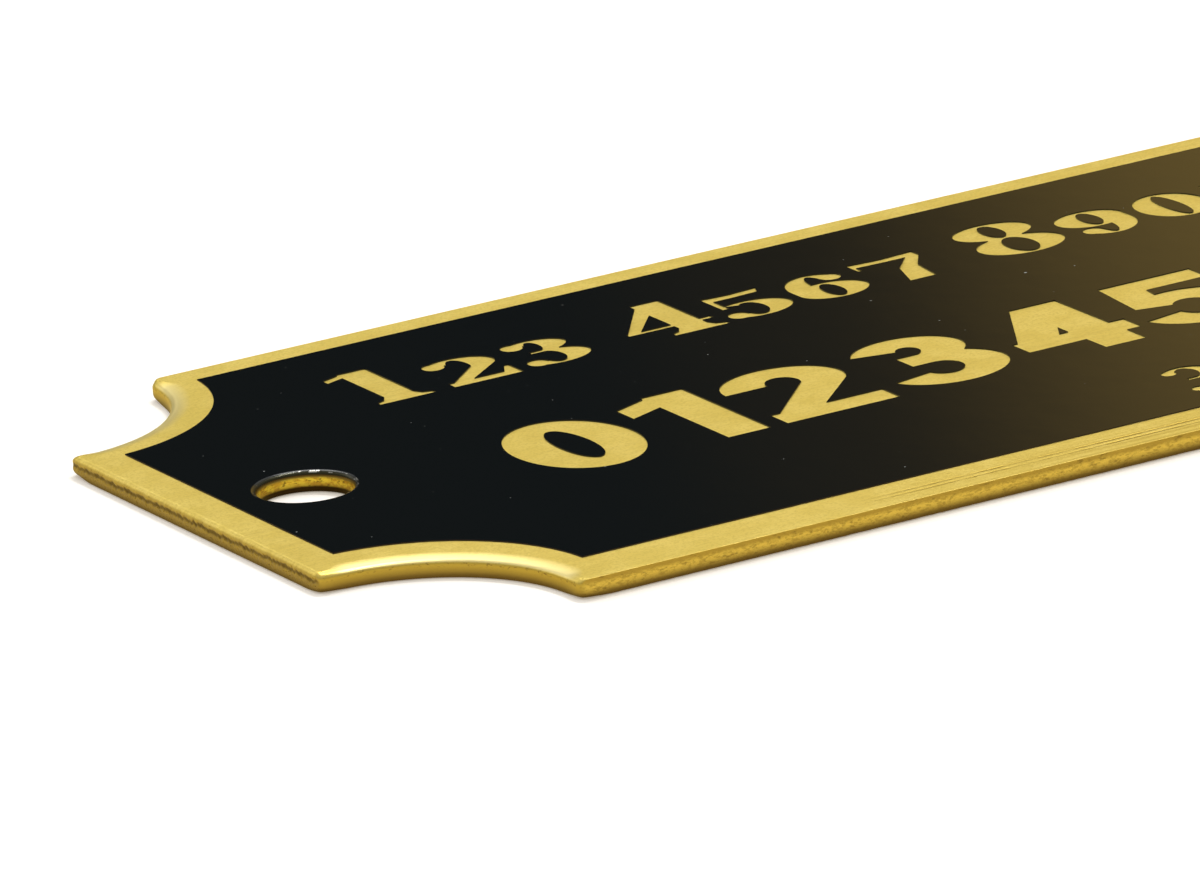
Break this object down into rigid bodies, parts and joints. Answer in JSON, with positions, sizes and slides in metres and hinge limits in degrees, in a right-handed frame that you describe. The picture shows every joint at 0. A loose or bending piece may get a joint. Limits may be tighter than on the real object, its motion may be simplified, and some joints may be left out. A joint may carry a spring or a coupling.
{
  "type": "brass name plate",
  "caption": "Thin brass plate with scooped corners, a screw hole near each end and a black enamel panel inside a bare brass border.",
  "frame": {"origin": "centre of the flat back face", "axes": "+X along the plate, +Y up the face as it is read, +Z out of the face"},
  "size_m": [0.0636, 0.0222, 0.0005],
  "materials": {
    "brass": "satin lacquered face, polished rolled edges, rough torn fracture low on the punched edges",
    "enamel": "glossy black baked enamel with a few dust nibs and hairline scratches"
  },
  "bodies": {
    "root": {"brass_plate": "brass", "enamel_panel": "enamel"}
  },
  "joints": []
}
